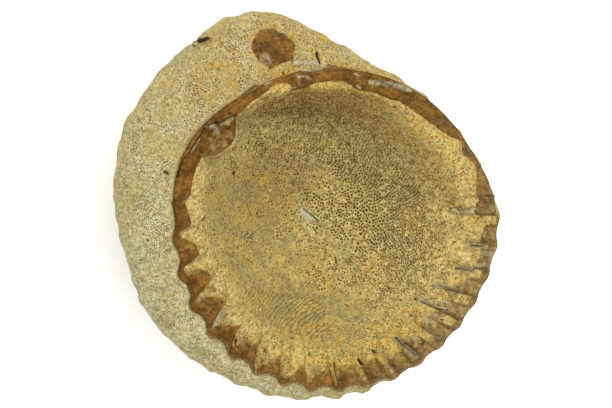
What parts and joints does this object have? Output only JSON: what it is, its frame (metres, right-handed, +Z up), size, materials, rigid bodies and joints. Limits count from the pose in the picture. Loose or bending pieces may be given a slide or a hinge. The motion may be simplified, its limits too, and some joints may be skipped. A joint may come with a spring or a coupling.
{
  "type": "fossil common cockle",
  "caption": "Fossil cockle valve lying on its back, hollow upwards, grown over outside and inside with porous crust that leaves the ridged brown rim and hinge bare.",
  "frame": {"origin": "middle of the small flat spot under the outer crust, on which the shell rests", "axes": "+Z up, out of the hollow; +Y towards the beak and hinge; +X towards the shell's hind end"},
  "size_m": [0.047, 0.0459, 0.0199],
  "materials": {
    "shell_brown": "smooth, slightly waxy, fine growth lines",
    "crust_ochre": "matte, finely porous, chalky cream with ochre patches",
    "lining_ochre": "matte, pitted with fine pores, khaki floor and ochre edge"
  },
  "bodies": {
    "root": {"cockle_valve": "shell_brown", "outer_crust": "crust_ochre", "inner_crust": "lining_ochre"}
  },
  "joints": []
}
